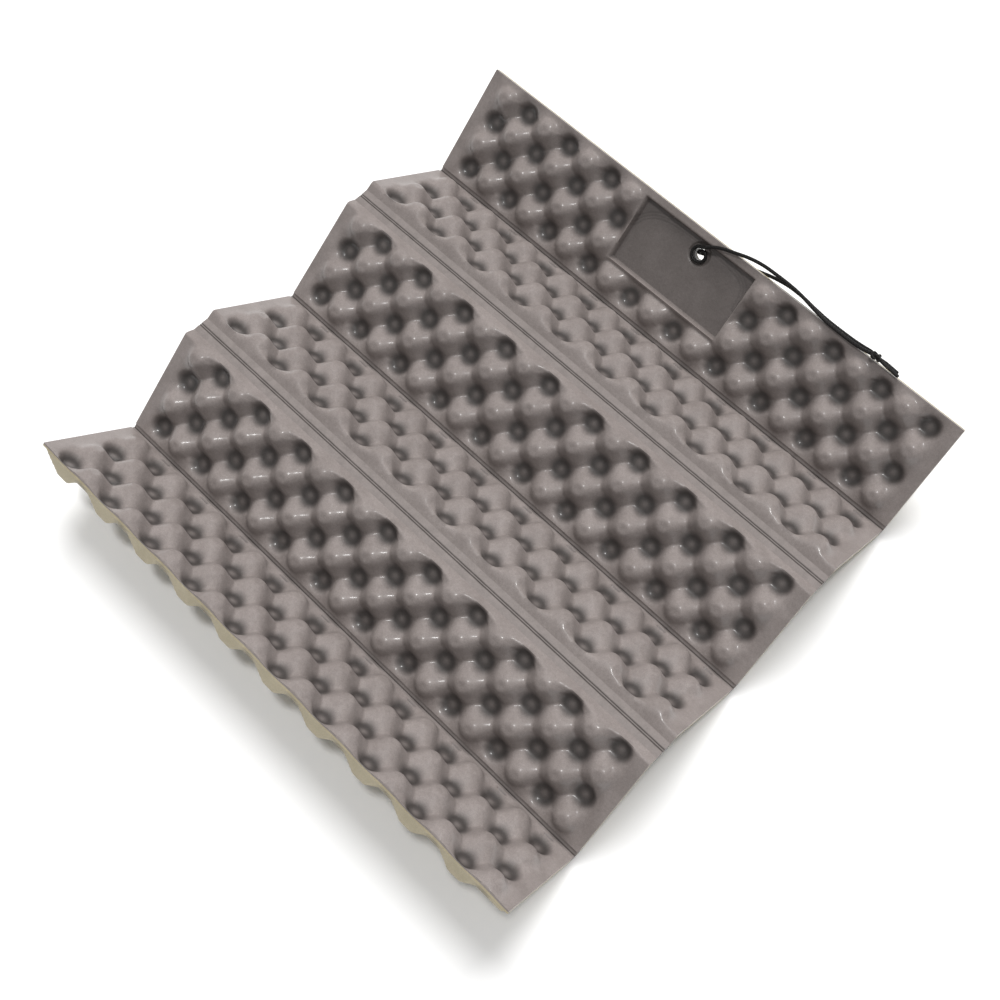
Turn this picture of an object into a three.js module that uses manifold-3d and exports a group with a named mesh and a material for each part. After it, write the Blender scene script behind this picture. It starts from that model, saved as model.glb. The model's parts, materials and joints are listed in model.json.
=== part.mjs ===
// A folding foam sit pad: six egg-crate foam panels in a zigzag, each moulded from an upper
// and a lower foam layer, joined by five pressed fold webs, with an elastic cord tied
// through a hole in the end panel. Millimetres, +Z up, X along the folds, panel 1 at +Y.
//
// Each panel is built lying flat in a frame of its own: X along the folds, Y across the
// panel and Z out of its upper side, with the origin at mid-length on the mid-plane.

import * as THREE from 'three';
import { mergeVertices } from 'three/addons/utils/BufferGeometryUtils.js';
import ManifoldModule from 'manifold-3d';

const wasm = await ManifoldModule();
wasm.setup();

// ---- driving dimensions -----------------------------------------------------------------

const padLength = 330; // along the folds
const panelWidth = 67.7; // from fold axis to fold axis, opened out flat
const cordedPanelTrim = 1; // panel 1's free edge is cut this much short of the full width
const tailPanelTrim = 4; // and panel 6's free edge this much

// how far each panel is turned about X in the standing zigzag, from panel 1 to panel 6
const restTilts = [44, -37.5, 38.5, -41, 40, -46];

const foldOffset = 5; // fold axis from the mid-plane, up in a valley and down under a ridge
const faceGap = 0.3; // between faces that meet
const nestClearance = 1; // between a dome and the dimple that it folds into

const columnPitch = 15.8; // bumps along X
const rowPitch = 15.35; // bumps across a panel
const sideMargin = 6.5; // least border beside the outer columns' bumps
const foldMargin = 2.9; // least border beside the outer rows' bumps
const domeTop = 9.5; // above the mid-plane
const creaseDrop = 1.7; // where two domes meet, below the border
const rimThickness = 3; // of the pinched outer edge
const rimTaper = 6; // width over which the rim grows to the full thickness
const crestSetback = 4.2; // from a ridge's fold axis to the crest beside it
const narrowestBorder = 0.2; // beside a free edge that is cut inside the crest line
const layerSwing = 1.8; // rise and fall of the seam between the two layers

const webRadius = 1.6; // a fold web stays inside this radius of its axis
const webThickness = 0.8;
const foldEdgeThickness = 2.4; // of a panel where it meets a fold web

const recessCentreX = -8;
const recessLength = 78;
const recessWidth = 41;
const recessEdgeInset = 4.2; // from panel 1's free edge
const recessFloor = 0.8; // above the mid-plane
const holeCentreX = -4.3;
const holeInset = 13; // from panel 1's free edge
const holeRadius = 3.4;
const counterboreRadius = 6.5;
const counterboreDepth = 1.2;

const cordDiameter = 2;
const cordSides = 8;
const cordSteps = 80;
const tailSteps = 5;
const knotLoopRadius = 1.9;
const knotStrandRadius = 1.05;
const knotStrandSides = 6;
const knotLoopSteps = 10;
const holeSides = 20;

// ---- derived sizes ----------------------------------------------------------------------

const borderHeight = foldOffset - faceGap; // flat border, on either side of the mid-plane
const dimpleFloor = 2 * foldOffset - nestClearance - domeTop;
const creaseHeight = borderHeight - creaseDrop;
const halfLength = padLength / 2;
const halfWidth = panelWidth / 2;
const columnCount = Math.floor((padLength - 2 * sideMargin) / columnPitch);
const rowCount = Math.floor((panelWidth - 2 * foldMargin) / rowPitch);
const edgeSetback = webRadius + faceGap; // from a fold axis to the panels beside it
const panelCount = restTilts.length;

const columnX = (column) => (column - (columnCount - 1) / 2) * columnPitch;
const rowY = (row) => ((rowCount - 1) / 2 - row) * rowPitch;

// ---- materials --------------------------------------------------------------------------

const greyFoam = () => new THREE.MeshStandardMaterial({ color: 0x8b8280, roughness: 0.55 });
const tanFoam = () => new THREE.MeshStandardMaterial({ color: 0xa99c7c, roughness: 0.65 });
const webFoam = () => new THREE.MeshStandardMaterial({ color: 0x6f6865, roughness: 0.6 });
const blackCord = () => new THREE.MeshStandardMaterial({ color: 0x1b1918, roughness: 0.8 });

function addPiece(parent, name, geometry, material) {
  const mesh = new THREE.Mesh(geometry, material);
  mesh.name = name;
  parent.add(mesh);
  return mesh;
}

// ---- booleans ---------------------------------------------------------------------------

function toManifold(geometry) {
  const bare = geometry.clone();
  bare.deleteAttribute('normal');
  bare.deleteAttribute('uv');
  const merged = mergeVertices(bare, 1e-4);
  return new wasm.Manifold(new wasm.Mesh({
    numProp: 3,
    vertProperties: new Float32Array(merged.attributes.position.array),
    triVerts: new Uint32Array(merged.index.array),
  }));
}

function fromManifold(solid) {
  const { vertProperties, triVerts } = solid.getMesh();
  const geometry = new THREE.BufferGeometry();
  geometry.setAttribute('position', new THREE.BufferAttribute(new Float32Array(vertProperties), 3));
  geometry.setIndex(new THREE.BufferAttribute(new Uint32Array(triVerts), 1));
  geometry.computeVertexNormals();
  return geometry;
}

const join = (...parts) => fromManifold(parts.map(toManifold).reduce((a, b) => a.add(b)));
const cut = (body, ...tools) => fromManifold(
  tools.map(toManifold).reduce((a, b) => a.subtract(b), toManifold(body)),
);

// ---- panels -----------------------------------------------------------------------------

// What a panel's two long edges are: 'valley', 'ridge' or 'free'.
function panelLayout(index) {
  const foldAfter = index % 2 === 0 ? 'valley' : 'ridge';
  const foldBefore = index % 2 === 0 ? 'ridge' : 'valley';
  const isFirst = index === 0;
  const isLast = index === panelCount - 1;
  return {
    index,
    plusSide: isFirst ? 'free' : foldBefore,
    minusSide: isLast ? 'free' : foldAfter,
    plusY: halfWidth - (isFirst ? cordedPanelTrim : edgeSetback),
    minusY: (isLast ? tailPanelTrim : edgeSetback) - halfWidth,
    rowOffset: index * rowCount,
  };
}

// Heights of the upper face, the seam and the lower face at one kind of grid point.
const sample = (upper, lower) => ({ upper, lower, seam: (upper + lower) / 2 });
const borderPoint = sample(borderHeight, -borderHeight);
const rimPoint = sample(borderHeight, borderHeight - rimThickness);
const valleyEdgePoint = sample(borderHeight, borderHeight - foldEdgeThickness);
const ridgeEdgePoint = sample(foldEdgeThickness - borderHeight, -borderHeight);
const domePoint = { upper: domeTop, seam: layerSwing, lower: -dimpleFloor };
const dimplePoint = { upper: dimpleFloor, seam: -layerSwing, lower: -domeTop };
const recessPoint = { ...borderPoint, seam: (recessFloor - borderHeight) / 2 };

const edgePoints = { valley: valleyEdgePoint, ridge: ridgeEdgePoint, free: rimPoint };

// Beside a pinched rim the lower face is part of the way down to the flat border.
function besideRim(distance) {
  const share = Math.min(distance / rimTaper, 1);
  const lower = THREE.MathUtils.lerp(borderHeight - rimThickness, -borderHeight, share);
  return sample(borderHeight, lower);
}

function insideRecess(layout, x, y) {
  if (layout.index !== 0) return false;
  const nearEdge = layout.plusY - recessEdgeInset;
  const alongX = Math.abs(x - recessCentreX) < recessLength / 2;
  return alongX && y < nearEdge && y > nearEdge - recessWidth;
}

// A panel's grid: bump columns and rows, a border line on each side, and the outer edges.
function panelGrid(layout) {
  const columns = Array.from({ length: columnCount }, (_, column) => ({
    at: columnX(column), kind: 'bump', number: column,
  }));
  const rows = Array.from({ length: rowCount }, (_, row) => ({
    at: rowY(row), kind: 'bump', number: row,
  }));
  const sideBorder = (halfLength + columnX(columnCount - 1)) / 2;
  const borderY = (edge) => (
    Math.sign(edge) * Math.min(halfWidth - crestSetback, Math.abs(edge) - narrowestBorder)
  );
  return {
    xLines: [
      { at: -halfLength, kind: 'rim' }, { at: -sideBorder, kind: 'border' },
      ...columns,
      { at: sideBorder, kind: 'border' }, { at: halfLength, kind: 'rim' },
    ],
    yLines: [
      { at: layout.plusY, kind: 'edge', side: layout.plusSide },
      { at: borderY(layout.plusY), kind: 'border', side: layout.plusSide },
      ...rows,
      { at: borderY(layout.minusY), kind: 'border', side: layout.minusSide },
      { at: layout.minusY, kind: 'edge', side: layout.minusSide },
    ],
  };
}

function gridPoint(layout, xLine, yLine) {
  if (yLine.kind === 'edge') return edgePoints[yLine.side];
  if (xLine.kind === 'rim') return rimPoint;
  if (yLine.kind === 'border') {
    const edge = yLine.at > 0 ? layout.plusY : layout.minusY;
    return yLine.side === 'free' ? besideRim(Math.abs(edge - yLine.at)) : borderPoint;
  }
  if (xLine.kind === 'border') return besideRim(halfLength - Math.abs(xLine.at));
  if (insideRecess(layout, xLine.at, yLine.at)) return recessPoint;
  const isDome = (layout.rowOffset + yLine.number + xLine.number) % 2 === 0;
  return isDome ? domePoint : dimplePoint;
}

// A cell between four bumps has its crease point in the middle of the upper and lower face.
function hasCrease(layout, xLines, yLines, column, row) {
  const cellX = [xLines[column], xLines[column + 1]];
  const cellY = [yLines[row], yLines[row + 1]];
  const isBumpCell = [...cellX, ...cellY].every((line) => line.kind === 'bump');
  return isBumpCell && !cellX.some((x) => cellY.some((y) => insideRecess(layout, x.at, y.at)));
}

// The closed solid between two height fields over a panel's grid. A field gives the height
// of a grid point and of its crease points, or null where it has none. A cell without one
// is split along its lower or its upper diagonal: the faces that meet in a shut fold take
// the diagonal that hollows them, so that the bumps of one panel clear those of the next.
function layerGeometry(layout, upperField, lowerField) {
  const { xLines, yLines } = panelGrid(layout);
  const positions = [];
  const triangles = [];
  const addVertex = (x, y, z) => positions.push(x, y, z) / 3 - 1;
  const heightSum = (a, b) => positions[3 * a + 2] + positions[3 * b + 2];

  const addSkin = (field, facesUp) => {
    const vertices = xLines.map((x) => yLines.map(
      (y) => addVertex(x.at, y.at, field.height(gridPoint(layout, x, y))),
    ));
    const face = (a, b, c) => triangles.push(...(facesUp ? [a, b, c] : [a, c, b]));
    for (let i = 0; i < xLines.length - 1; i += 1) {
      for (let j = 0; j < yLines.length - 1; j += 1) {
        const corners = [vertices[i][j], vertices[i][j + 1], vertices[i + 1][j + 1], vertices[i + 1][j]];
        if (field.crease !== null && hasCrease(layout, xLines, yLines, i, j)) {
          const middleX = (xLines[i].at + xLines[i + 1].at) / 2;
          const middleY = (yLines[j].at + yLines[j + 1].at) / 2;
          const middle = addVertex(middleX, middleY, field.crease);
          corners.forEach((corner, n) => face(corner, corners[(n + 1) % 4], middle));
        } else {
          const isLowDiagonal = heightSum(corners[0], corners[2]) <= heightSum(corners[1], corners[3]);
          if (isLowDiagonal !== field.splitsLow) corners.push(corners.shift());
          face(corners[0], corners[1], corners[2]);
          face(corners[0], corners[2], corners[3]);
        }
      }
    }
    return vertices;
  };

  const outline = (vertices) => {
    const between = vertices.slice(1, -1);
    return [
      ...vertices[0],
      ...between.map((line) => line.at(-1)),
      ...[...vertices.at(-1)].reverse(),
      ...between.map((line) => line[0]).reverse(),
    ];
  };

  const top = outline(addSkin(upperField, true));
  const bottom = outline(addSkin(lowerField, false));
  top.forEach((corner, n) => {
    const next = (n + 1) % top.length;
    triangles.push(corner, bottom[n], bottom[next], corner, bottom[next], top[next]);
  });

  const geometry = new THREE.BufferGeometry();
  geometry.setAttribute('position', new THREE.Float32BufferAttribute(positions, 3));
  geometry.setIndex(triangles);
  geometry.computeVertexNormals();
  return geometry;
}

const seamField = (offset) => (
  { height: (point) => point.seam + offset, crease: null, splitsLow: true }
);
const upperFace = { height: (point) => point.upper, crease: creaseHeight, splitsLow: true };
const lowerFace = { height: (point) => point.lower, crease: -creaseHeight, splitsLow: false };
const aboveSeam = seamField(faceGap / 2);
const belowSeam = seamField(-faceGap / 2);

// A cylinder along the panel's Z, on the cord hole's axis.
function holeCutter(layout, radius, bottom, top) {
  const cylinder = new THREE.CylinderGeometry(radius, radius, top - bottom, holeSides);
  cylinder.rotateX(Math.PI / 2);
  cylinder.translate(holeCentreX, layout.plusY - holeInset, (top + bottom) / 2);
  return cylinder;
}

function recessCutter(layout) {
  const headroom = 2 * domeTop;
  const box = new THREE.BoxGeometry(recessLength, recessWidth, headroom);
  const centreY = layout.plusY - recessEdgeInset - recessWidth / 2;
  box.translate(recessCentreX, centreY, recessFloor + headroom / 2);
  return box;
}

function buildPanel(index) {
  const layout = panelLayout(index);
  const group = new THREE.Group();
  let upper = layerGeometry(layout, upperFace, aboveSeam);
  let lower = layerGeometry(layout, belowSeam, lowerFace);
  if (index === 0) {
    const through = holeCutter(layout, holeRadius, -2 * domeTop, 2 * domeTop);
    const counterboreFloor = recessFloor - counterboreDepth;
    const counterbore = holeCutter(layout, counterboreRadius, counterboreFloor, 2 * domeTop);
    upper = cut(upper, recessCutter(layout), counterbore, through);
    lower = cut(lower, through);
  }
  addPiece(group, `panel_${index + 1}_upper_foam`, upper, greyFoam());
  addPiece(group, `panel_${index + 1}_lower_foam`, lower, tanFoam());
  return group;
}

// ---- fold webs --------------------------------------------------------------------------

// A thin flat strip, centred on the fold axis.
function foldWebGeometry() {
  const halfStrip = Math.sqrt(webRadius ** 2 - (webThickness / 2) ** 2);
  return new THREE.BoxGeometry(padLength, 2 * halfStrip, webThickness);
}

// ---- cord and knot ----------------------------------------------------------------------

// Hand-laid route in panel 1: x, inset from the free edge, height above the mid-plane.
// From the knot along the outside of the edge, over it, once round the counterbore, down
// through the hole, back under the panel, round the edge from below and up to the knot.
const cordRoute = [
  [103.6, -2.6, 7.1], [98, -1.5, 6.3], [91, -1, 5.8], [83, -0.95, 5.7], [75, -1.2, 5.6],
  [65.5, -2.5, 5.4], [57, -3.9, 5.2], [48.6, -4.6, 5.2], [39, -4.7, 5.4], [30, -4.4, 5.7],
  [22, -3.1, 6], [13.9, -0.7, 6.2], [6, 1.9, 6.3], [0.6, 4.9, 5.7], [-2.2, 7.3, 3.6],
  [-5, 8.8, 2.3], [-7.4, 10, 1.8], [-8.6, 13, 1.4], [-7.4, 16.1, 1.1], [-4.3, 17.3, 1],
  [-1.2, 16.1, 1], [-0.1, 13, 1], [-1.9, 10.6, 1.1], [-4.3, 10.9, 0.2], [-5.7, 11.9, -1],
  [-6.1, 13.3, -2.6], [-4.9, 13.3, -5.1], [-2.2, 12.4, -6.3], [7, 9.2, -6.4],
  [16, 6, -5.6], [25, 2.6, -3.6], [33, -0.2, -0.4], [40, -2.1, 1.6], [48, -3.3, 2.7],
  [57, -3.3, 3], [65.5, -2.4, 3.2], [75, -1.7, 3.3], [83, -1.6, 3.3], [94, -1.9, 3.5],
  [103.5, -3.1, 4.7],
];
const tailRoutes = [
  [[108, -2.6, 6.6], [113, -2.3, 6.6], [118, -1.9, 6.3], [122.5, -1.5, 6.1]],
  [[108, -3, 5.6], [113, -2.9, 4.9], [117, -2.6, 4.4], [121, -2.3, 4.1]],
];
const knotCentre = [107.2, -2.9, 6.2];

const onPanelOne = ([x, inset, height]) => new THREE.Vector3(x, panelLayout(0).plusY - inset, height);

function cordTube(route, radius, steps) {
  const section = new THREE.Shape();
  for (let side = 0; side < cordSides; side += 1) {
    const angle = (2 * Math.PI * side) / cordSides;
    const corner = [radius * Math.cos(angle), radius * Math.sin(angle)];
    if (side === 0) section.moveTo(...corner);
    else section.lineTo(...corner);
  }
  section.closePath();
  const extrudePath = new THREE.CatmullRomCurve3(route.map(onPanelOne));
  return new THREE.ExtrudeGeometry(section, { steps, bevelEnabled: false, extrudePath });
}

// Three crossing loops pulled tight, with the cord's two cut ends.
function knotGeometry() {
  const loops = [0, 1, 2].map((turn) => {
    const loop = new THREE.TorusGeometry(
      knotLoopRadius, knotStrandRadius, knotStrandSides, knotLoopSteps,
    );
    loop.rotateX(Math.PI / 2);
    loop.rotateZ((turn * Math.PI) / 3);
    loop.rotateX((turn * Math.PI) / 5);
    loop.translate(...onPanelOne(knotCentre).toArray());
    return loop;
  });
  const tails = tailRoutes.map((route) => cordTube(route, cordDiameter / 2, tailSteps));
  return join(...loops, ...tails);
}

// ---- assembly ---------------------------------------------------------------------------

const pad = new THREE.Group();
const standing = new THREE.Group();
pad.add(standing);

// Walks down the zigzag from panel 1: each fold axis is at one long edge of the panel
// before it and of the panel after it.
const foldAxis = new THREE.Vector3();
restTilts.forEach((tilt, index) => {
  const layout = panelLayout(index);
  const group = buildPanel(index);
  group.rotation.x = THREE.MathUtils.degToRad(tilt);
  const axisInPanel = (side, sign) => new THREE.Vector3(
    0, sign * halfWidth, side === 'ridge' ? -foldOffset : foldOffset,
  ).applyEuler(group.rotation);
  if (index > 0) group.position.copy(foldAxis).sub(axisInPanel(layout.plusSide, 1));
  foldAxis.copy(group.position).add(axisInPanel(layout.minusSide, -1));
  standing.add(group);

  if (index < panelCount - 1) {
    const name = `fold_web_${index + 1}_${index + 2}`;
    const web = addPiece(standing, name, foldWebGeometry(), webFoam());
    web.position.copy(foldAxis);
  }
});

// The pad stands on z = 0 with the middle of its foam over the origin.
const foamBox = new THREE.Box3().setFromObject(standing, true);
const foamCentre = foamBox.getCenter(new THREE.Vector3());
standing.position.set(-foamCentre.x, -foamCentre.y, -foamBox.min.z);

const cordedPanel = standing.children.find((child) => child.isGroup);
addPiece(cordedPanel, 'pull_cord', cordTube(cordRoute, cordDiameter / 2, cordSteps), blackCord());
addPiece(cordedPanel, 'cord_knot', knotGeometry(), blackCord());

export default pad;
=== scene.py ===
import json
import math

import bpy
import numpy as np
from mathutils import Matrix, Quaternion, Vector


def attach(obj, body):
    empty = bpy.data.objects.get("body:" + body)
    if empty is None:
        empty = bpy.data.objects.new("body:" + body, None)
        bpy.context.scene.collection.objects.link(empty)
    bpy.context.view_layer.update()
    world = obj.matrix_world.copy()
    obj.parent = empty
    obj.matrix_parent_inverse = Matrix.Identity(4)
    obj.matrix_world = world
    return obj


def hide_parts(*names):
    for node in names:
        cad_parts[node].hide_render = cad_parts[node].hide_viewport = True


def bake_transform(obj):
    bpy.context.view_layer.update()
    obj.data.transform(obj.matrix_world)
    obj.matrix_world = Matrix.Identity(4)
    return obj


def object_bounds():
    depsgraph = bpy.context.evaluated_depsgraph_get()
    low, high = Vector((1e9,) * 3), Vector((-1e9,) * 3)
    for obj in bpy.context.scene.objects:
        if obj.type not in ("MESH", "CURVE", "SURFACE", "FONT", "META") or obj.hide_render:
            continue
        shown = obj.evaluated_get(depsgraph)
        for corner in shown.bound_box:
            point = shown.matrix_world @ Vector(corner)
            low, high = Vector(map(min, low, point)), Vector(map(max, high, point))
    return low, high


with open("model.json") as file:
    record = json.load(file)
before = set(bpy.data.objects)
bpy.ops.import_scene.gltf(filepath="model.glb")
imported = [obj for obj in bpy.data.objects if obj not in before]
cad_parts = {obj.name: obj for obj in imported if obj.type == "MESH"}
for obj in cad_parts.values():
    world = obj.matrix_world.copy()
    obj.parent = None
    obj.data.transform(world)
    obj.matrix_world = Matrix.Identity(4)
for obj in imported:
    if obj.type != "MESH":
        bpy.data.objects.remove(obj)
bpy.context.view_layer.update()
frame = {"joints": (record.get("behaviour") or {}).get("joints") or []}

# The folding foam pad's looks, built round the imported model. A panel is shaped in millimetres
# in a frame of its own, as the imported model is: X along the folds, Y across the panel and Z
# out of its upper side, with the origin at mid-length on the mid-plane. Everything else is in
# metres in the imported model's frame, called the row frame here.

MM = 0.001

# ---- sizes, in millimetres ----------------------------------------------------------------

PAD_LENGTH = 330.0
FOLD_OFFSET = 5.0  # fold axis from the mid-plane, up in a valley and down under a ridge
BORDER_HEIGHT = 4.7  # flat border, on either side of the mid-plane
CORDED_PANEL_TRIM = 1.0  # panel 1's free edge is cut this much short of the full width
TAIL_PANEL_TRIM = 4.0  # and panel 6's free edge this much

COLUMNS, ROWS = 20, 4
COLUMN_PITCH, ROW_PITCH = 15.8, 15.35
BUMP_RADIUS = 7.9
BUMP_MIDDLE, BUMP_SWING = 4.5, 5.0  # a dome's mean height, and how far it rises and falls
DIMPLE_FULLNESS = 0.25  # how much fuller a dimple is than a cosine
DOME_FULLNESS = 0.14  # and how much fuller a dome is
BUMP_SPREAD = 0.21  # how much further a dome reaches towards the next domes than to the dimples
SPREAD_START, SPREAD_END = 4.0, 11.5  # from a dome's centre
NUB_HEIGHT, NUB_RADIUS = 0.7, 2.1  # small nub at the bottom of a dimple
NEST_CLEARANCE = 0.4  # between panels folded shut
RIM_RADIUS = 6.9  # of an outer dimple, towards the border
SIDE_BORDER = 158.0  # where the border starts, from mid-length
EDGE_BORDERS = {"valley": 7.4, "ridge": 6.0, "free": 6.6}  # and from the outer rows' centres
BLEND_SHARPNESS = 3.2  # per millimetre, of the creases between bumps
CREST_SHARPNESS = 1.1  # and of the crest beside a ridge
RIM_SHARPNESS = 1.0  # and where the domes run out into the border
BORDER_SHARPNESS = 1.2  # of the corners of the line where the border starts
DIMPLE_RIM_SHARPNESS = 3.0  # where an outer dimple's rim meets the border
LOWER_SHARPNESS = 2.5  # where the lower bumps meet the pinched rims
RIM_FADE = 3.0  # over how far the rims and the border set in past the outer rows
DIMPLE_FLOOR = BUMP_MIDDLE - BUMP_SWING
LEAST_THICKNESS = 1.2  # of the two layers together
SEAM_GAP = 0.02  # from the seam to each layer

EDGE_SETBACK = 1.9  # from a fold axis to the panels beside it
CREST_SETBACK = 4.2  # from a ridge's fold axis to the crest beside it
FOLD_EDGE_THICKNESS = 2.4
CREST_SLOPE = (2 * BORDER_HEIGHT - FOLD_EDGE_THICKNESS) / (CREST_SETBACK - EDGE_SETBACK)
RIM_THICKNESS = 3.0
RIM_FLAT, RIM_TAPER = 1.5, 6.0  # the pinched rim's flat width, and the width it grows over
TAIL_RIM = (0.8, 4.0)  # the same along panel 6's free edge, where the lower bumps show
TAIL_RIM_THICKNESS = 1.8

RECESS_LEFT, RECESS_RIGHT = -47.0, 31.0
RECESS_INSET, RECESS_WIDTH = 4.2, 41.0  # from panel 1's free edge
RECESS_FLOOR = 0.8
RECESS_DRAFT = 1.6  # width of the recess's sloping wall
RECESS_COLUMNS, RECESS_ROWS = range(7, 12), range(0, 3)  # bumps that the recess takes
MOULD_ARCH = [
    (-46.5, 21), (-43, 15.5), (-36, 10.2), (-26, 7.6), (-12, 6.8), (2, 6.9), (14, 7.8),
    (22, 9.6), (27, 13), (29, 18), (29.8, 25),
]  # x, inset of the arched line in the recess's floor
MOULD_LINE_DEPTH, MOULD_LINE_WIDTH = 0.3, 0.4
SECOND_LINE_AWAY, SECOND_LINE_STRENGTH = 1.7, 0.8  # the fainter line beside the first
# MOULD_LINE_SHADE is painted shade along the moulded lines: how much of its colour a line loses
MOULD_LINE_SHADE = 0.3
MOULD_LINE_STEP = 0.6
HOLE_X, HOLE_INSET, HOLE_RADIUS = -4.3, 13.0, 3.4
HOLE_SIDES = 48
COUNTERBORE_RADIUS, COUNTERBORE_DEPTH = 6.5, 1.2
COUNTERBORE_SPILL, COUNTERBORE_SLOPE = 0.3, 0.8  # its sloping wall: past the radius, and its width

NICK_INSET, NICK_WIDTH, NICK_REACH, NICK_DEPTH = 1.0, 0.45, 3.4, 0.9  # beside the valleys
# NICK_SHADE is painted shade down in the nicks: how much of its colour a nick loses
NICK_FADE, NICK_SHADE = 0.8, 0.6

GRID_STEP = 0.79
FINE_STEP = 0.65  # in the recess
EDGE_STEPS = np.array([0, 0.5, 1.0, 1.6, 2.3])  # the first lines in from an edge
SHARP_ANGLE = 50  # degrees between faces that make a sharp edge
PIT_SHADE, PIT_SHADE_RADIUS, PIT_SHADE_FADE = 0.82, 8.0, 4.0  # painted shade down in the dimples
NUB_LIGHT = 0.55  # how much of that painted shade the nub does without
# RECESS_SHADE is painted shade in the recess: how much of its colour the recess's floor keeps
RECESS_SHADE = 0.6

CORD_DIAMETER = 2.0
CORD_STEP = 0.3
CORD_ROUTE = [
    (103.6, -2.6, 7.1), (98, -1.5, 6.3), (91, -1, 5.8), (83, -0.95, 5.7), (75, -1.2, 5.6),
    (65.5, -2.5, 5.4), (57, -3.9, 5.2), (48.6, -4.6, 5.2), (39, -4.7, 5.4), (30, -4.4, 5.7),
    (22, -3.1, 6), (13.9, -0.7, 6.2), (6, 1.9, 6.3), (0.6, 4.9, 5.7), (-2.2, 7.3, 3.6),
    (-5, 8.8, 2.3), (-7.4, 10, 1.8), (-8.6, 13, 1.4), (-7.4, 16.1, 1.1), (-4.3, 17.3, 1),
    (-1.2, 16.1, 1), (-0.1, 13, 1), (-1.9, 10.6, 1.1), (-4.3, 10.9, 0.2), (-5.7, 11.9, -1),
    (-6.1, 13.3, -2.6), (-4.9, 13.3, -5.1), (-2.2, 12.4, -6.3), (7, 9.2, -6.4),
    (16, 6, -5.6), (25, 2.6, -3.6), (33, -0.2, -0.4), (40, -2.1, 1.6), (48, -3.3, 2.7),
    (57, -3.3, 3), (65.5, -2.4, 3.2), (75, -1.7, 3.3), (83, -1.6, 3.3), (94, -1.9, 3.5),
    (103.5, -3.1, 4.7),
]  # x, inset from panel 1's free edge, height above the mid-plane
KNOT_CENTRE = (107.2, -2.9, 6.2)
TAIL_ROUTES = [
    [(113, -2.3, 6.6), (118, -1.9, 6.3), (122.5, -1.5, 6.1)],
    [(113, -2.9, 4.9), (117, -2.6, 4.4), (121, -2.3, 4.1)],
]  # past the knot
TAIL_SLIMMER = 0.05  # how much less a tail's radius is than the cord's
TAIL_TAPER, TAIL_END = 1.2, 0.55  # length of a tail's rounded tip, and how thin it ends


# ---- panel frames, from the joints ----------------------------------------------------------

joints = {joint["name"]: joint for joint in frame["joints"]}
FOLDS = [joints[f"fold_{n}_{n + 1}"] for n in range(1, 6)]
fold_points = [np.array(fold["pos_m"][1:]) / MM for fold in FOLDS]  # y and z
PANEL_WIDTH = math.sqrt(
    float(((fold_points[1] - fold_points[2]) ** 2).sum()) - (2 * FOLD_OFFSET) ** 2
)
HALF_WIDTH = PANEL_WIDTH / 2


def is_valley(fold_index):
    return fold_index % 2 == 0


def turned(angle, y, z):
    """A panel's own y and z, turned into the row frame."""
    return np.array([
        y * math.cos(angle) - z * math.sin(angle), y * math.sin(angle) + z * math.cos(angle),
    ])


def panel_tilts():
    """Each panel's turn about X. An inner panel's comes from the two folds beside it, and an
    end panel's from its neighbour's and the fold's travel to flat."""
    lean = math.atan2(2 * FOLD_OFFSET, PANEL_WIDTH)
    tilts = [0.0] * 6
    for panel in range(1, 5):
        along = fold_points[panel - 1] - fold_points[panel]
        tilts[panel] = math.atan2(along[1], along[0]) + (-lean if is_valley(panel - 1) else lean)
    for end, neighbour, fold in ((0, 1, FOLDS[0]), (5, 4, FOLDS[4])):
        tilts[end] = tilts[neighbour] - math.radians(fold["range_deg"][0]) * fold["axis"][0]
    return tilts


TILTS = panel_tilts()


def panel_centre(panel):
    fold, side = (panel, -1) if panel < 5 else (panel - 1, 1)
    height = FOLD_OFFSET if is_valley(fold) else -FOLD_OFFSET
    return fold_points[fold] - turned(TILTS[panel], side * HALF_WIDTH, height)


CENTRES = [panel_centre(panel) for panel in range(6)]


def to_row(panel, points):
    """Points in a panel's own frame, in millimetres, as points in the row frame, in metres."""
    points = np.asarray(points, float)
    moved = turned(TILTS[panel], points[..., 1], points[..., 2])
    moved = np.moveaxis(moved, 0, -1) + CENTRES[panel]
    return np.concatenate([points[..., :1], moved], axis=-1) * MM


def panel_edges(panel):
    """The panel's y at its two long edges, and what each edge is."""
    plus = HALF_WIDTH - (CORDED_PANEL_TRIM if panel == 0 else EDGE_SETBACK)
    minus = (TAIL_PANEL_TRIM if panel == 5 else EDGE_SETBACK) - HALF_WIDTH
    kinds = ["valley" if is_valley(fold) else "ridge" for fold in (panel - 1, panel)]
    if panel == 0:
        kinds[0] = "free"
    if panel == 5:
        kinds[1] = "free"
    return (plus, kinds[0]), (minus, kinds[1])


CORDED_EDGE = panel_edges(0)[0][0]  # the y of panel 1's free edge


# ---- camera ---------------------------------------------------------------------------------

CAMERA_AIM = Vector((14.2, -15.4, 22.0)) * MM
CAMERA_DISTANCE = 0.744
CAMERA_AZIMUTH, CAMERA_ELEVATION = math.radians(46.593), math.radians(66.495)
CAMERA_ROLL = math.radians(-2.2965)
CAMERA_LENS = 51.69


def make_camera():
    data = bpy.data.cameras.new("photo_camera")
    data.lens = CAMERA_LENS
    data.sensor_width = 36
    data.clip_start, data.clip_end = 0.01, 20
    camera = bpy.data.objects.new("photo_camera", data)
    bpy.context.scene.collection.objects.link(camera)
    flat = math.cos(CAMERA_ELEVATION)
    back = Vector((
        math.sin(CAMERA_AZIMUTH) * flat, -math.cos(CAMERA_AZIMUTH) * flat, math.sin(CAMERA_ELEVATION),
    ))
    camera.location = CAMERA_AIM + back * CAMERA_DISTANCE
    camera.rotation_mode = "QUATERNION"
    look = (-back).to_track_quat("-Z", "Y")
    camera.rotation_quaternion = Quaternion(back, CAMERA_ROLL) @ look
    bpy.context.scene.camera = camera


make_camera()


# ---- node helpers ---------------------------------------------------------------------------

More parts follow.
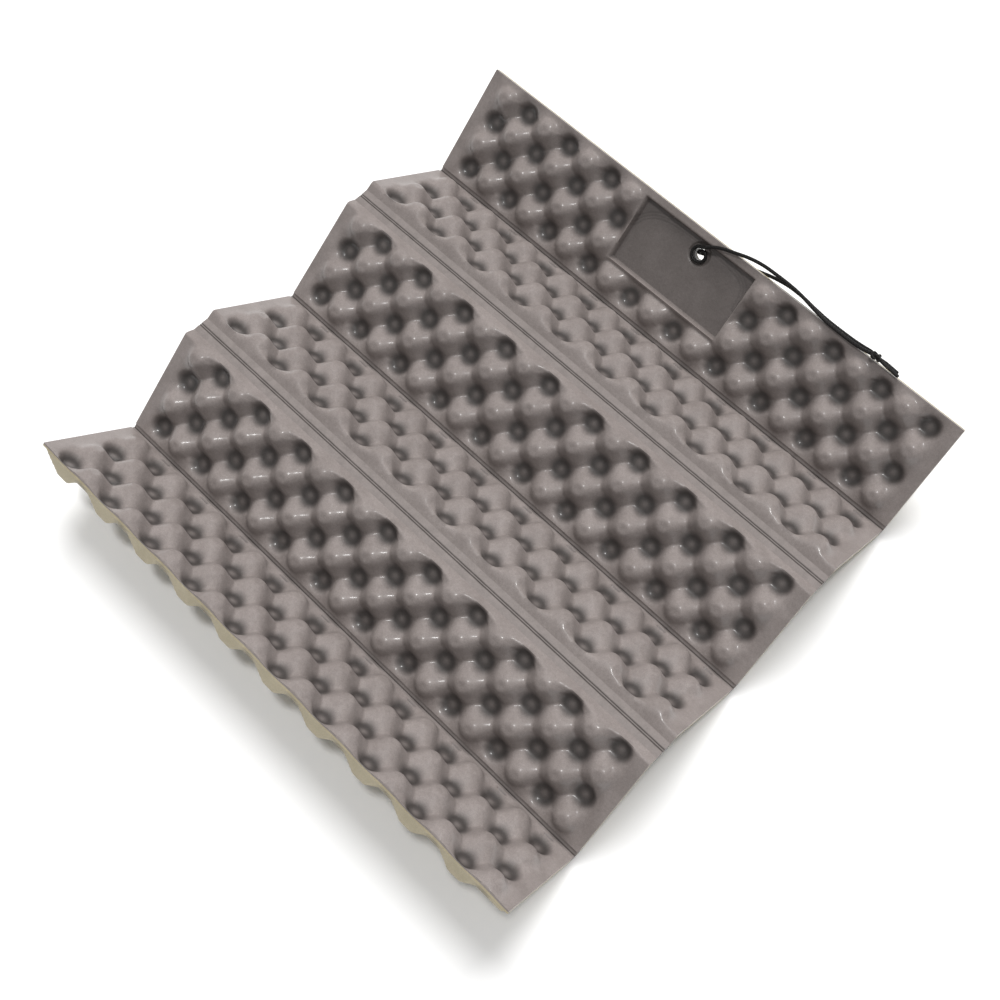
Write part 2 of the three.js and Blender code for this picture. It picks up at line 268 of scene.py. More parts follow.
def new_material(name):
    material = bpy.data.materials.new(name)
    material.use_nodes = True
    tree = material.node_tree
    shader = tree.nodes["Principled BSDF"]
    return material, tree, shader


def node(tree, kind, inputs=None, **settings):
    made = tree.nodes.new(kind)
    for key, value in settings.items():
        setattr(made, key, value)
    for key, value in (inputs or {}).items():
        if isinstance(value, bpy.types.NodeSocket):
            tree.links.new(value, made.inputs[key])
        else:
            made.inputs[key].default_value = value
    return made


def noise(tree, coordinates, scale, detail=4.0, roughness=0.5, distortion=0.0):
    made = node(tree, "ShaderNodeTexNoise", {
        "Vector": coordinates, "Scale": scale, "Detail": detail, "Roughness": roughness,
        "Distortion": distortion,
    })
    return made.outputs["Fac"]


def ramp(tree, factor, *stops):
    made = node(tree, "ShaderNodeValToRGB", {"Fac": factor})
    elements = made.color_ramp.elements
    while len(elements) < len(stops):
        elements.new(0.5)
    for element, (position, colour) in zip(elements, stops):
        element.position = position
        element.color = (*colour, 1.0) if len(colour) == 3 else colour
    return made.outputs["Color"]


def toned(tree, colour, tone):
    """The colour times the tone."""
    made = node(tree, "ShaderNodeMix", data_type="RGBA", blend_type="MULTIPLY")
    sockets = {socket.name: socket for socket in made.inputs if socket.enabled}
    sockets["Factor"].default_value = 1.0
    tree.links.new(colour, sockets["A"])
    tree.links.new(tone, sockets["B"])
    return next(socket for socket in made.outputs if socket.enabled)


def remap(tree, value, low, high, new_low, new_high):
    made = node(tree, "ShaderNodeMapRange", {
        "Value": value, "From Min": low, "From Max": high, "To Min": new_low, "To Max": new_high,
    })
    return made.outputs["Result"]


def bump(tree, height, strength, distance, normal=None):
    inputs = {"Height": height, "Strength": strength, "Distance": distance}
    if normal is not None:
        inputs["Normal"] = normal
    return node(tree, "ShaderNodeBump", inputs).outputs["Normal"]


def grey(value):
    return (value, value, value)


# ---- materials ------------------------------------------------------------------------------

def foam_material(name, dark, mid, light, hollow_painted_shade, base_roughness, coat):
    """Closed-cell foam with a moulded skin: a fine mottle of cells under the skin, broad soft
    patches, a grain in the gloss, and a painted shade down in the dimples and other hollows."""
    material, tree, shader = new_material(name)
    place = node(tree, "ShaderNodeTexCoord").outputs["Object"]
    fine = noise(tree, place, 1900, detail=3, roughness=0.65)
    cells = noise(tree, place, 620, detail=4, roughness=0.6)
    patches = noise(tree, place, 70, detail=3, roughness=0.55, distortion=0.4)
    colour = ramp(tree, patches, (0.32, mid), (0.68, light))
    colour = toned(tree, colour, ramp(tree, cells, (0.3, dark), (0.7, grey(1.0))))
    colour = toned(tree, colour, ramp(tree, fine, (0.25, grey(0.78)), (0.75, grey(1.1))))
    # painted shade: the colour darkens down in the hollows as the shade attribute falls
    shade = node(tree, "ShaderNodeAttribute", attribute_name="shade").outputs["Fac"]
    tone = ramp(tree, shade, (0.0, hollow_painted_shade), (1.0, grey(1.0)))
    colour = toned(tree, colour, tone)
    tree.links.new(colour, shader.inputs["Base Color"])
    tree.links.new(remap(tree, cells, 0.25, 0.75, base_roughness - 0.07, base_roughness + 0.09),
                   shader.inputs["Roughness"])
    normal = bump(tree, patches, 0.25, 0.0006)
    normal = bump(tree, cells, 0.5, 0.00012, normal)
    normal = bump(tree, fine, 0.55, 0.00005, normal)
    tree.links.new(normal, shader.inputs["Normal"])
    shader.inputs["Coat Weight"].default_value = coat
    shader.inputs["Coat Roughness"].default_value = 0.16
    shader.inputs["Specular IOR Level"].default_value = 0.5
    return material


def web_material():
    """The pad's own foam pressed thin along a fold: a little darker, with fine pressing marks
    and painted shade down in its creases."""
    material, tree, shader = new_material("pressed_fold")
    place = node(tree, "ShaderNodeTexCoord").outputs["Object"]
    fine = noise(tree, place, 1500, detail=3, roughness=0.6)
    marks = noise(tree, place, 160, detail=4, roughness=0.6, distortion=0.6)
    colour = ramp(tree, marks, (0.3, (0.18, 0.158, 0.149)), (0.7, (0.225, 0.197, 0.187)))
    colour = toned(tree, colour, ramp(tree, fine, (0.25, grey(0.85)), (0.75, grey(1.05))))
    # painted shade down in the creases, from the shade attribute
    shade = node(tree, "ShaderNodeAttribute", attribute_name="shade").outputs["Fac"]
    colour = toned(tree, colour, ramp(tree, shade, (0.0, grey(0.05)), (1.0, grey(1.0))))
    tree.links.new(colour, shader.inputs["Base Color"])
    tree.links.new(remap(tree, marks, 0.3, 0.7, 0.5, 0.66), shader.inputs["Roughness"])
    normal = bump(tree, marks, 0.5, 0.0003)
    tree.links.new(bump(tree, fine, 0.5, 0.00005, normal), shader.inputs["Normal"])
    return material


def cord_material():
    """Braided black polyester: two sets of yarns that cross along the cord, lighter on the
    yarns' crowns than between them, and patches of dust.
    """
    material, tree, shader = new_material("elastic_cord")
    place = node(tree, "ShaderNodeTexCoord").outputs["Object"]
    yarn = node(tree, "ShaderNodeAttribute", attribute_name="yarn").outputs["Fac"]
    fibres = noise(tree, place, 5200, detail=4, roughness=0.7)
    dust = noise(tree, place, 240, detail=3, roughness=0.6)
    # lighter on the yarns' crowns, darker down between them
    colour = ramp(tree, yarn, (0.0, (0.0025, 0.0023, 0.0022)), (0.55, (0.008, 0.0075, 0.0072)),
                  (1.0, (0.02, 0.019, 0.0185)))
    colour = toned(tree, colour, ramp(tree, fibres, (0.3, grey(0.6)), (0.75, grey(1.35))))
    colour = toned(tree, colour, ramp(tree, dust, (0.35, grey(0.85)), (0.7, grey(1.2))))
    tree.links.new(colour, shader.inputs["Base Color"])
    tree.links.new(remap(tree, fibres, 0.3, 0.7, 0.42, 0.62), shader.inputs["Roughness"])
    tree.links.new(bump(tree, fibres, 0.6, 0.00006), shader.inputs["Normal"])
    shader.inputs["Sheen Weight"].default_value = 0.08
    shader.inputs["Sheen Roughness"].default_value = 0.4
    shader.inputs["Specular IOR Level"].default_value = 0.3
    return material


GREY_FOAM = foam_material(
    "upper_foam", dark=(0.86, 0.85, 0.845), mid=(0.222, 0.193, 0.182), light=(0.268, 0.235, 0.223),
    hollow_painted_shade=grey(0.03), base_roughness=0.46, coat=0.3,
)
TAN_FOAM = foam_material(
    "lower_foam", dark=(0.9, 0.89, 0.87), mid=(0.40, 0.345, 0.222), light=(0.46, 0.40, 0.266),
    hollow_painted_shade=grey(0.35), base_roughness=0.52, coat=0.05,
)
PRESSED_FOAM = web_material()
BLACK_CORD = cord_material()


# ---- meshes ---------------------------------------------------------------------------------

def make_object(name, vertices, faces, material, attributes=None, sharp_angle=None):
    mesh = bpy.data.meshes.new(name)
    mesh.from_pydata(np.asarray(vertices).tolist(), [], faces)
    for key, values in (attributes or {}).items():
        mesh.attributes.new(key, "FLOAT", "POINT").data.foreach_set("value", values.astype(np.float32))
    mesh.materials.append(material)
    mesh.shade_smooth()
    if sharp_angle:
        mesh.set_sharp_from_angle(angle=math.radians(sharp_angle))
    made = bpy.data.objects.new(name, mesh)
    bpy.context.scene.collection.objects.link(made)
    return made


def smooth_max(values, sharpness=BLEND_SHARPNESS):
    values = np.stack(values)
    top = values.max(axis=0)
    return top + np.log(np.exp(sharpness * (values - top)).sum(axis=0)) / sharpness


def smooth_min(values, sharpness=BLEND_SHARPNESS):
    return -smooth_max([-v for v in values], sharpness)


def flank(distance):
    """A bump's height at a distance from its centre, on the way to a dimple."""
    c = np.cos(np.pi * np.clip(distance, 0, 2 * BUMP_RADIUS) / (2 * BUMP_RADIUS))
    fullness = np.where(c < 0, DIMPLE_FULLNESS, DOME_FULLNESS)
    return BUMP_MIDDLE + BUMP_SWING * c * (1 + fullness * (1 - c * c))


def dome(dx, dy):
    """A dome's height, a rounded square in plan with its corners towards the next domes."""
    square = dx * dx + dy * dy
    diagonal = 4 * (dx * dy) ** 2 / np.maximum(square, 1e-6) ** 2
    outward = smoothstep((np.sqrt(square) - SPREAD_START) / (SPREAD_END - SPREAD_START))
    return flank(np.sqrt(square) * (1 - BUMP_SPREAD * diagonal * outward))


def column_x(column):
    return (column - (COLUMNS - 1) / 2) * COLUMN_PITCH


def row_y(row):
    return ((ROWS - 1) / 2 - row) * ROW_PITCH


def in_recess_block(panel, column, row):
    return panel == 0 and column in RECESS_COLUMNS and row in RECESS_ROWS


def border_inset(panel, x, y):
    """How far a point lies inside the line where the flat border starts."""
    insets = [SIDE_BORDER - np.abs(x)]
    for edge, kind in panel_edges(panel):
        insets.append(row_y(0) + EDGE_BORDERS[kind] - np.sign(edge) * y)
    return smooth_min(insets, BORDER_SHARPNESS)


def lattice(panel, parity):
    """Centres of the bumps whose column and row add up to the parity."""
    for column in range(COLUMNS):
        for row in range(ROWS):
            if (column + row) % 2 == parity and not in_recess_block(panel, column, row):
                yield column_x(column), row_y(row)


def dimple_rims(panel, x, y, parity):
    """Closes the outer dimples with round rims, beyond the outer rows' and columns' centres."""
    rims = np.full(x.shape, BORDER_HEIGHT)
    for centre_x, centre_y in lattice(panel, 1 - parity):
        r = np.hypot(x - centre_x, y - centre_y) * BUMP_RADIUS / RIM_RADIUS
        rims = smooth_min([rims, 2 * BUMP_MIDDLE - flank(r)], DIMPLE_RIM_SHARPNESS)
    beyond = np.maximum(np.abs(y) - row_y(0), np.abs(x) - column_x(COLUMNS - 1))
    return DIMPLE_FLOOR + (rims - DIMPLE_FLOOR) * smoothstep(beyond / RIM_FADE)


def free_bumps(panel, x, y, parity, open_edge=False):
    """The bumped surface of one side, before its edges are cut: domes where column and row
    add up to the parity, with the border and the recess's ledge closing off the dimples. An
    open edge has no border past the last row."""
    heights = [dome(x - cx, y - cy) for cx, cy in lattice(panel, parity)]
    rims = dimple_rims(panel, x, y, parity)
    inset = border_inset(panel, x, y)
    border = np.where(inset > 0, flank(BUMP_RADIUS + inset), BORDER_HEIGHT)
    if open_edge:
        kept = smoothstep((y - row_y(ROWS - 1)) / RIM_FADE)
        rims, border = (
            DIMPLE_FLOOR + (height - DIMPLE_FLOOR) * kept for height in (rims, border)
        )
    if panel == 0:
        outside = recess_distance(x, y)
        ledge = np.where(outside > 0, flank(BUMP_RADIUS + outside), BORDER_HEIGHT)
        border = np.maximum(border, ledge)
    raised = smooth_max([smooth_max(heights), np.maximum(rims, border)], RIM_SHARPNESS)
    nubs = sum(
        np.exp(-((x - centre_x) ** 2 + (y - centre_y) ** 2) / NUB_RADIUS ** 2)
        for centre_x, centre_y in lattice(panel, 1 - parity)
    )
    return raised + NUB_HEIGHT * nubs


def bumps(panel, x, y, parity):
    """The same surface, shaved where it would press into the panel that it folds onto, whose
    bumps stand over this one's dimples."""
    own = free_bumps(panel, x, y, parity, open_edge=panel == 5 and parity == 1)
    facing = free_bumps(panel, x, y, 1 - parity)
    return own - np.maximum(own + facing - 2 * FOLD_OFFSET + NEST_CLEARANCE, 0) / 2


def shade(panel, x, y, parity):
    """How much of the full colour a place keeps, a painted shade: less down the walls of the dimples.
    """
    kept = np.ones_like(x)
    for centre_x, centre_y in lattice(panel, 1 - parity):
        r = np.hypot(x - centre_x, y - centre_y)
        wall = smoothstep((PIT_SHADE_RADIUS - r) / PIT_SHADE_FADE)
        kept = kept * (1 - PIT_SHADE * wall * (1 - NUB_LIGHT * np.exp(-(r / NUB_RADIUS) ** 2)))
    return kept


def recess_distance(x, y):
    """Distance outside the recess's edge, negative inside."""
    near = CORDED_EDGE - RECESS_INSET
    dx = np.abs(x - (RECESS_LEFT + RECESS_RIGHT) / 2) - (RECESS_RIGHT - RECESS_LEFT) / 2
    dy = np.abs(y - (near - RECESS_WIDTH / 2)) - RECESS_WIDTH / 2
    outside = np.hypot(np.maximum(dx, 0), np.maximum(dy, 0))
    return outside + np.minimum(np.maximum(dx, dy), 0)


def smoothstep(value):
    value = np.clip(value, 0, 1)
    return value * value * (3 - 2 * value)


def mould_lines(x, y):
    """How near a place is to the two arched lines in the recess's floor, from 0 to 1."""
    arch = [(px, CORDED_EDGE - inset, 0) for px, inset in MOULD_ARCH]
    line = smooth_curve(arch, MOULD_LINE_STEP)[:, :2]
    away = np.full(x.shape, np.inf)
    reached = recess_distance(x, y) < 1
    spots = np.stack([x[reached], y[reached]], axis=-1)
    away[reached] = np.sqrt(((spots[:, None] - line[None]) ** 2).sum(axis=-1).min(axis=1))
    first, second = (
        np.exp(-((away - place) / MOULD_LINE_WIDTH) ** 2) for place in (0, SECOND_LINE_AWAY)
    )
    return first + SECOND_LINE_STRENGTH * second


def valley_nicks(panel, x, y):
    """How deep in one of the short nicks beside a valley a place is, from 0 to 1."""
    edge, kind = panel_edges(panel)[0]
    if kind != "valley":
        return np.zeros_like(x)
    across = np.exp(-((edge - NICK_INSET - y) / NICK_WIDTH) ** 2)
    return across * sum(
        smoothstep((NICK_REACH - np.abs(x - column_x(column))) / NICK_FADE)
        for column in range(1, COLUMNS, 2)
    )


def upper_height(panel, x, y):
    height = bumps(panel, x, y, parity=0) - NICK_DEPTH * valley_nicks(panel, x, y)
    for edge, kind in panel_edges(panel):
        if kind == "ridge":
            from_axis = HALF_WIDTH - np.sign(edge) * y
            wall = FOLD_EDGE_THICKNESS - BORDER_HEIGHT + CREST_SLOPE * (from_axis - EDGE_SETBACK)
            height = smooth_min([height, wall], CREST_SHARPNESS)
    if panel == 0:
        inside = -recess_distance(x, y)
        floor = RECESS_FLOOR + (height - RECESS_FLOOR) * (1 - smoothstep(inside / RECESS_DRAFT))
        within = COUNTERBORE_RADIUS - np.hypot(x - HOLE_X, y - (CORDED_EDGE - HOLE_INSET))
        floor = floor - COUNTERBORE_DEPTH * smoothstep((within + COUNTERBORE_SPILL) / COUNTERBORE_SLOPE)
        floor = floor - MOULD_LINE_DEPTH * mould_lines(x, y)
        height = np.where(inside > 0, floor, height)
    return height


def lower_height(panel, x, y, upper):
    height = -bumps(panel, x, y, parity=1)

    def rim(distance, flat=RIM_FLAT, taper=RIM_TAPER, thickness=RIM_THICKNESS):
        slope = (2 * BORDER_HEIGHT - thickness) / (taper - flat)
        return BORDER_HEIGHT - thickness - slope * np.maximum(distance - flat, 0)

    floors = [rim(PAD_LENGTH / 2 - np.abs(x))]
    for edge, kind in panel_edges(panel):
        from_edge = np.abs(edge - y)
        if kind == "free" and panel == 5:
            floors.append(rim(from_edge, *TAIL_RIM, TAIL_RIM_THICKNESS))
        elif kind == "free":
            floors.append(rim(from_edge))
        if kind == "valley":
            floors.append(BORDER_HEIGHT - FOLD_EDGE_THICKNESS - CREST_SLOPE * from_edge)
    height = smooth_max([height, *floors], LOWER_SHARPNESS)
    return np.minimum(height, upper - LEAST_THICKNESS)


def spaced(low, high, step):
    return np.linspace(low, high, max(2, round((high - low) / step) + 1))


def grid_lines(panel):
    """The panel's x and y lines: close together at the edges and in the recess."""
    half = PAD_LENGTH / 2
    (plus, _), (minus, _) = panel_edges(panel)
    inner_x, inner_y = half - EDGE_STEPS[-1], EDGE_STEPS[-1]
    if panel == 0:
        near = plus - RECESS_INSET
        far = near - RECESS_WIDTH
        xs = np.concatenate([
            spaced(-inner_x, RECESS_LEFT - 1, GRID_STEP),
            spaced(RECESS_LEFT - 1, RECESS_RIGHT + 1, FINE_STEP)[1:],
            spaced(RECESS_RIGHT + 1, inner_x, GRID_STEP)[1:],
        ])
        ys = np.concatenate([
            spaced(minus + inner_y, far - 1, GRID_STEP),
            spaced(far - 1, near + 1, FINE_STEP)[1:],
            spaced(near + 1, plus - inner_y, FINE_STEP)[1:],
        ])
    else:
        xs = spaced(-inner_x, inner_x, GRID_STEP)
        ys = spaced(minus + inner_y, plus - inner_y, GRID_STEP)
    ends = EDGE_STEPS[:-1]
    xs = np.concatenate([-half + ends, xs, (half - ends)[::-1]])
    ys = np.concatenate([minus + ends, ys, (plus - ends)[::-1]])
    return xs, ys


def slab(name, panel, x, y, top, bottom, kept, material):
    """The closed solid between two height grids."""
    columns, rows = x.shape
    count = columns * rows
    points = np.concatenate([np.stack([x, y, z], axis=-1).reshape(-1, 3) for z in (top, bottom)])
    index = np.arange(count).reshape(columns, rows)
    a, b, c, d = index[:-1, :-1], index[1:, :-1], index[1:, 1:], index[:-1, 1:]
    upper = np.stack([a, b, c, d], axis=-1).reshape(-1, 4)
    lower = upper[:, ::-1] + count
    loop = np.concatenate([
        index[:-1, 0], index[-1, :-1], index[:0:-1, -1], index[0, :0:-1],
    ])
    following = np.roll(loop, -1)
    sides = np.stack([loop, loop + count, following + count, following], axis=-1)
    faces = np.concatenate([upper, lower, sides])
    # the painted shade, the same on the top and the bottom grid
    attributes = {"shade": np.tile(kept.reshape(-1), 2)}
    return make_object(
        name, to_row(panel, points), faces.tolist(), material, attributes, SHARP_ANGLE,
    )


def cut_hole(piece):
    """Cuts the cord hole through one of panel 1's layers."""
    centre_y = CORDED_EDGE - HOLE_INSET
    sides = HOLE_SIDES
    angles = np.arange(sides) * 2 * math.pi / sides
    ring = np.stack([
        HOLE_X + HOLE_RADIUS * np.cos(angles), centre_y + HOLE_RADIUS * np.sin(angles),
    ], axis=-1)
    reach = 4 * FOLD_OFFSET
    points = np.concatenate([np.c_[ring, np.full(sides, z)] for z in (-reach, reach)])
    loop = np.arange(sides)
    walls = np.stack([loop, np.roll(loop, -1), np.roll(loop, -1) + sides, loop + sides], axis=-1)
    faces = [*walls.tolist(), list(range(sides))[::-1], list(range(sides, 2 * sides))]
    mesh = bpy.data.meshes.new("hole_cutter")
    mesh.from_pydata(to_row(0, points).tolist(), [], faces)
    cutter = bpy.data.objects.new("hole_cutter", mesh)
    bpy.context.scene.collection.objects.link(cutter)
    modifier = piece.modifiers.new("cord_hole", "BOOLEAN")
    modifier.operation = "DIFFERENCE"
    modifier.solver = "EXACT"
    modifier.object = cutter
    bpy.context.view_layer.objects.active = piece
    bpy.ops.object.modifier_apply(modifier=modifier.name)
    bpy.data.objects.remove(cutter)
    piece.data.set_sharp_from_angle(angle=math.radians(SHARP_ANGLE))


def build_panel(panel):
    xs, ys = grid_lines(panel)
    x, y = np.meshgrid(xs, ys, indexing="ij")
    upper = upper_height(panel, x, y)
    lower = lower_height(panel, x, y, upper)
    seam = (upper + lower) / 2
    number = panel + 1
    # painted shade: darker in the dimples of both layers, and on the upper one in the nicks beside the
    # valleys, the recess and its moulded lines
    upper_shade = shade(panel, x, y, parity=0) * (1 - NICK_SHADE * valley_nicks(panel, x, y))
    if panel == 0:
        upper_shade *= 1 - (1 - RECESS_SHADE) * smoothstep(-recess_distance(x, y) / RECESS_DRAFT)
        upper_shade *= 1 - MOULD_LINE_SHADE * mould_lines(x, y)
    layers = [
        (f"panel_{number}_upper_moulding", upper, seam + SEAM_GAP, upper_shade, GREY_FOAM,
         f"panel_{number}_upper_foam", "upper_foam"),
        (f"panel_{number}_lower_moulding", seam - SEAM_GAP, lower, shade(panel, x, y, parity=1),
         TAN_FOAM, f"panel_{number}_lower_foam", "lower_foam"),
    ]
    for name, top, bottom, kept, material, stands_for, slot in layers:
        piece = slab(name, panel, x, y, top, bottom, kept, material)
        if panel == 0:
            cut_hole(piece)
        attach(piece, f"panel_{number}")
        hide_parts(stands_for)


# ---- fold webs ------------------------------------------------------------------------------

WEB_REACH = 2.4  # from the fold axis, just inside the panels' edges
WEB_STEPS = 36
WEB_SKIN = 0.15  # inside the faces of the panels' edges
WEB_MIDDLE = (0.7, 1.9)  # from the axis to the web's two faces, halfway round
RIDGE_FILLET = (2.75, 4.6)  # where a ridge's outer face meets the crest walls: along, and out
CREASE_DEPTH, CREASE_WIDTH = 0.45, 0.3
WEB_SHADE = 0.75  # painted shade: how much of its colour the web loses down in a crease
CREASES = {True: (0.0,), False: (-0.6, 0.6)}  # across the middle, of a valley and of a ridge
WEB_LINE_STEP = 2.0  # along the fold
RIPPLE_HEIGHT, RIPPLE_WAVE, RIPPLE_DRIFT = 0.12, 0.71, 0.17  # the waves in radians per millimetre
WEB_SHARP_ANGLE = 60


def build_web(fold_index):
    """The skin over a fold, curved between the edges of its two panels."""
    before, after = fold_index, fold_index + 1
    side = -1 if is_valley(fold_index) else 1
    into = turned(TILTS[before], 1, 0), turned(TILTS[after], -1, 0)
    out = turned(TILTS[before], 0, side), turned(TILTS[after], 0, side)
    middle = (out[0] + out[1]) / np.linalg.norm(out[0] + out[1])
    gap = FOLD_OFFSET - BORDER_HEIGHT
    faces_at = gap + WEB_SKIN, gap + FOLD_EDGE_THICKNESS - WEB_SKIN

    across = np.array([middle[1], -middle[0]])
    shown = 0 if side < 0 else 1

    def section(face):
        reach, rise = WEB_REACH, faces_at[face]
        if side > 0 and face == 1:
            reach, rise = RIDGE_FILLET
        ends = [into[k] * reach + out[k] * rise for k in (0, 1)]
        control = 2 * middle * WEB_MIDDLE[face] - (ends[0] + ends[1]) / 2
        t = np.linspace(0, 1, WEB_STEPS + 1)[:, None]
        line = ends[0] * (1 - t) ** 2 + 2 * control * t * (1 - t) + ends[1] * t * t
        if face == shown:
            line = line + (-middle if face else middle) * crease(line @ across)[:, None]
        return line

    def crease(offset):
        return CREASE_DEPTH * sum(
            np.exp(-((offset - place) / CREASE_WIDTH) ** 2) for place in CREASES[side < 0]
        )

    ring = np.concatenate([section(0), section(1)[::-1]])
    # painted shade: the web's colour darkens down in its creases
    kept = 1 - WEB_SHADE * crease(ring @ across) / CREASE_DEPTH
    xs = spaced(-PAD_LENGTH / 2, PAD_LENGTH / 2, WEB_LINE_STEP)
    ripple = RIPPLE_HEIGHT * np.sin(xs * RIPPLE_WAVE) * np.sin(xs * RIPPLE_DRIFT + fold_index)
    step = np.arange(len(ring)) % (WEB_STEPS + 1)
    swell = 1 - (np.abs(step - WEB_STEPS / 2) / (WEB_STEPS / 2)) ** 2
    offset = ripple[:, None, None] * swell[None, :, None] * middle
    points = ring[None] + offset + fold_points[fold_index]
    count = len(ring)
    vertices = np.concatenate([
        np.broadcast_to(xs[:, None, None], (len(xs), count, 1)), points,
    ], axis=-1).reshape(-1, 3) * MM
    index = np.arange(len(xs) * count).reshape(len(xs), count)
    a, b = index[:-1], index[1:]
    quads = np.stack([a, np.roll(a, -1, axis=1), np.roll(b, -1, axis=1), b], axis=-1).reshape(-1, 4)
    if side < 0:
        quads = quads[:, ::-1]
    caps = [index[0].tolist(), index[-1].tolist()]
    caps[0 if side > 0 else 1].reverse()
    piece = make_object(
        f"fold_{before + 1}_{after + 1}_hinge_skin", vertices, [*quads.tolist(), *caps],
        PRESSED_FOAM, {"shade": np.tile(kept, len(xs))}, WEB_SHARP_ANGLE,
    )
    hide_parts(f"fold_web_{before + 1}_{after + 1}")
    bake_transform(piece)


# ---- cord and knot --------------------------------------------------------------------------

def on_panel_one(points):
    return np.array([(x, CORDED_EDGE - inset, height) for x, inset, height in points])


def smooth_curve(points, step):
    """A centripetal Catmull-Rom curve through the points, with a point about every step."""
    points = np.asarray(points, float)
    padded = np.concatenate([
        [2 * points[0] - points[1]], points, [2 * points[-1] - points[-2]],
    ])
    line = []
    for p0, p1, p2, p3 in zip(padded, padded[1:], padded[2:], padded[3:]):
        t0, t1, t2 = (np.linalg.norm(b - a) ** 0.5 for a, b in ((p0, p1), (p1, p2), (p2, p3)))
        m1 = ((p1 - p0) / t0 - (p2 - p0) / (t0 + t1) + (p2 - p1) / t1) * t1
        m2 = ((p2 - p1) / t1 - (p3 - p1) / (t1 + t2) + (p3 - p2) / t2) * t1
        parts = max(2, round(np.linalg.norm(p2 - p1) / step))
        t = np.linspace(0, 1, parts, endpoint=False)[:, None]
        line.append(
            (2 * t ** 3 - 3 * t ** 2 + 1) * p1 + (t ** 3 - 2 * t ** 2 + t) * m1
            + (3 * t ** 2 - 2 * t ** 3) * p2 + (t ** 3 - t ** 2) * m2
        )
    return np.concatenate([*line, points[-1:]])


BRAID_YARNS = 8  # each way round
BRAID_PITCH = 7.0  # millimetres along the cord for one turn
BRAID_RELIEF = 0.07


def braided_tube(path, radius, sides=24, taper=0.0):
    """Vertices, faces and yarn heights of a braided cord along a path, closed at both ends."""
    path = np.asarray(path, float)
    along = np.gradient(path, axis=0)
    along /= np.linalg.norm(along, axis=1)[:, None]
    across = np.zeros_like(path)
    across[0] = np.cross(along[0], [0.3, 0.9, 0.2])
    across[0] /= np.linalg.norm(across[0])
    for k in range(1, len(path)):
        kept = across[k - 1] - along[k] * (across[k - 1] @ along[k])
        across[k] = kept / np.linalg.norm(kept)
    third = np.cross(along, across)
    distance = np.concatenate([[0], np.cumsum(np.linalg.norm(np.diff(path, axis=0), axis=1))])
    angle = np.arange(sides) * 2 * math.pi / sides
    turn = 2 * math.pi * distance[:, None] / BRAID_PITCH
    left = np.cos(BRAID_YARNS / 2 * (angle[None] + turn))
    right = np.cos(BRAID_YARNS / 2 * (angle[None] - turn))
    yarn = np.clip(np.maximum(left, right), 0, 1)
    girth = radius - BRAID_RELIEF * (1 - yarn)
    if taper:
        left_over = distance[-1] - distance[:, None]
        girth = girth * np.clip(TAIL_END + left_over / taper, TAIL_END, 1)
    rings = path[:, None] + girth[..., None] * (
        np.cos(angle)[None, :, None] * across[:, None] + np.sin(angle)[None, :, None] * third[:, None]
    )
    index = np.arange(len(path) * sides).reshape(len(path), sides)
    a, b = index[:-1], index[1:]
    quads = np.stack([a, np.roll(a, -1, axis=1), np.roll(b, -1, axis=1), b], axis=-1)
    faces = [*quads.reshape(-1, 4).tolist(), index[0][::-1].tolist(), index[-1].tolist()]
    return rings.reshape(-1, 3), faces, yarn.reshape(-1)


def braided_object(name, tubes):
    """One object from several tubes in panel 1's frame."""
    vertices, faces, yarns, start = [], [], [], 0
    for points, polygons, yarn in tubes:
        vertices.append(points)
        faces += [[start + corner for corner in polygon] for polygon in polygons]
        yarns.append(yarn)
        start += len(points)
    return make_object(
        name, to_row(0, np.concatenate(vertices)), faces, BLACK_CORD,
        {"yarn": np.concatenate(yarns)},
    )


KNOT_RADIUS = 2.45
KNOT_STRAND = 1.0


def knot_loop():
    """An overhand knot pulled tight, as one strand that runs in and out along the cord."""
    t = np.linspace(0.12, 2 * math.pi - 0.12, 90)
    scale = KNOT_RADIUS / 3
    x = (np.sin(t) + 2 * np.sin(2 * t)) * scale
    y = -np.sin(3 * t) * KNOT_STRAND * 0.95
    z = (np.cos(t) - 2 * np.cos(2 * t)) * scale
    return np.stack([x, y, z], axis=-1) + on_panel_one([KNOT_CENTRE])[0]


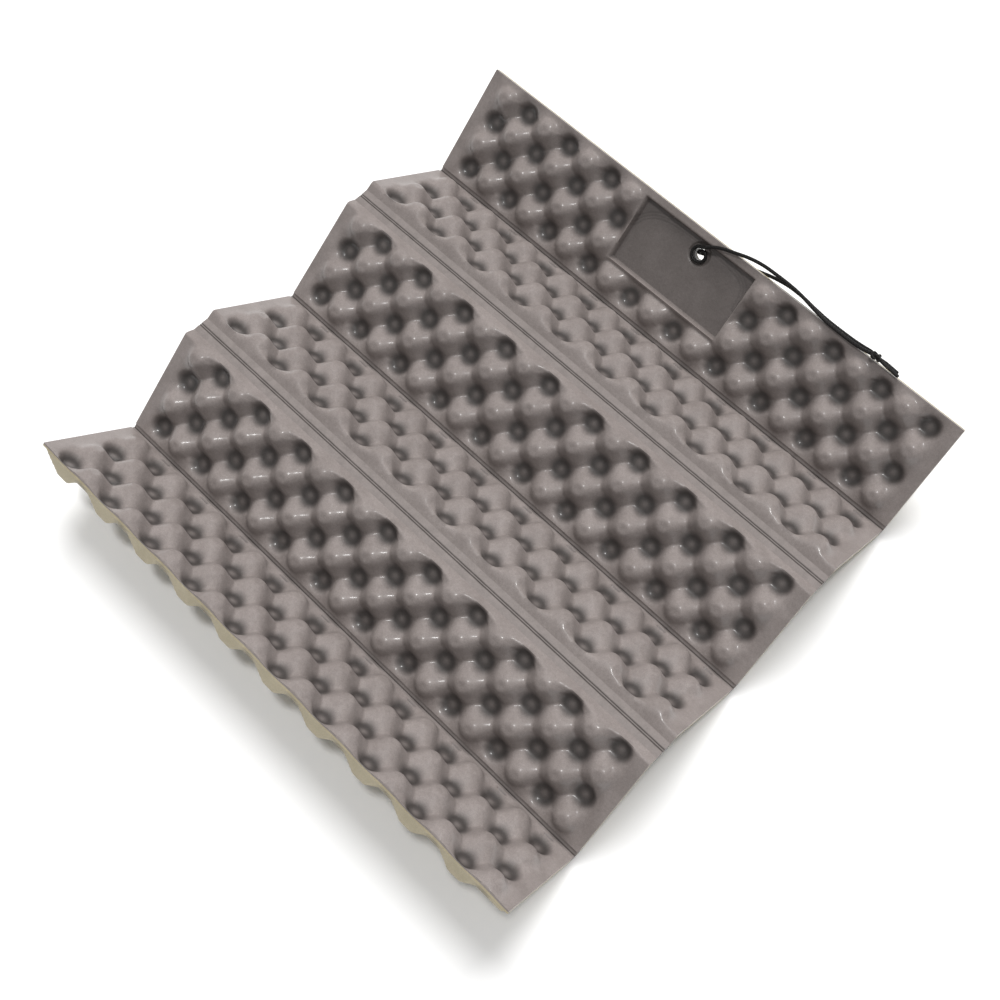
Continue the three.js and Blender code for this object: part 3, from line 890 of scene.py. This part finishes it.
def build_cord():
    route = smooth_curve(on_panel_one(CORD_ROUTE), CORD_STEP)
    cord = braided_object("braided_cord", [braided_tube(route, CORD_DIAMETER / 2)])
    ends = CORD_ROUTE[0], CORD_ROUTE[-1]
    tails = [
        smooth_curve(on_panel_one([end, KNOT_CENTRE, *points]), CORD_STEP)
        for end, points in zip(ends, TAIL_ROUTES)
    ]
    tail_radius = CORD_DIAMETER / 2 - TAIL_SLIMMER
    knot = braided_object("tied_knot", [
        braided_tube(knot_loop(), KNOT_STRAND),
        *[braided_tube(tail, tail_radius, taper=TAIL_TAPER) for tail in tails],
    ])
    for piece, stands_for in ((cord, "pull_cord"), (knot, "cord_knot")):
        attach(piece, "panel_1")
        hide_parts(stands_for)


build_cord()
for panel in range(6):
    build_panel(panel)
for fold_index in range(5):
    build_web(fold_index)


# ---- floor and lights -----------------------------------------------------------------------

FLOOR_REACH = 4.0  # metres, each way from the middle
WORLD_STRENGTH = 0.34
SOFTBOX = {"place": (-0.4, 0.75, 1.3), "angle": 32, "strength": 3.3}
SPOT = {"place": (0.12, -0.1, 1.5), "angle": 7, "strength": 1.1}


def build_floor():
    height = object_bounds()[0].z
    signs = (-1, -1), (1, -1), (1, 1), (-1, 1)
    corners = [(a * FLOOR_REACH, b * FLOOR_REACH, height) for a, b in signs]
    material, tree, shader = new_material("pale_floor")
    place = node(tree, "ShaderNodeTexCoord").outputs["Object"]
    grain = noise(tree, place, 9, detail=4)
    tree.links.new(ramp(tree, grain, (0.3, (0.86, 0.86, 0.86)), (0.7, (0.88, 0.88, 0.88))),
                   shader.inputs["Base Color"])
    shader.inputs["Roughness"].default_value = 0.9
    make_object("floor", corners, [(0, 1, 2, 3)], material)


def distant_light(name, place, angle, strength):
    """A soft light from far off, in the direction of the place."""
    data = bpy.data.lights.new(name, "SUN")
    data.angle = math.radians(angle)
    data.energy = strength
    light = bpy.data.objects.new(name, data)
    bpy.context.scene.collection.objects.link(light)
    light.rotation_mode = "QUATERNION"
    light.rotation_quaternion = (-Vector(place)).to_track_quat("-Z", "Y")
    light.location = place
    return light


def build_light():
    world = bpy.data.worlds.new("studio")
    world.use_nodes = True
    background = world.node_tree.nodes["Background"]
    background.inputs["Color"].default_value = (1, 1, 1, 1)
    background.inputs["Strength"].default_value = WORLD_STRENGTH
    bpy.context.scene.world = world
    softbox = distant_light("softbox", **SOFTBOX)
    softbox.visible_glossy = False
    distant_light("spot", **SPOT)
    bpy.context.scene.view_settings.view_transform = "Standard"


build_floor()
build_light()
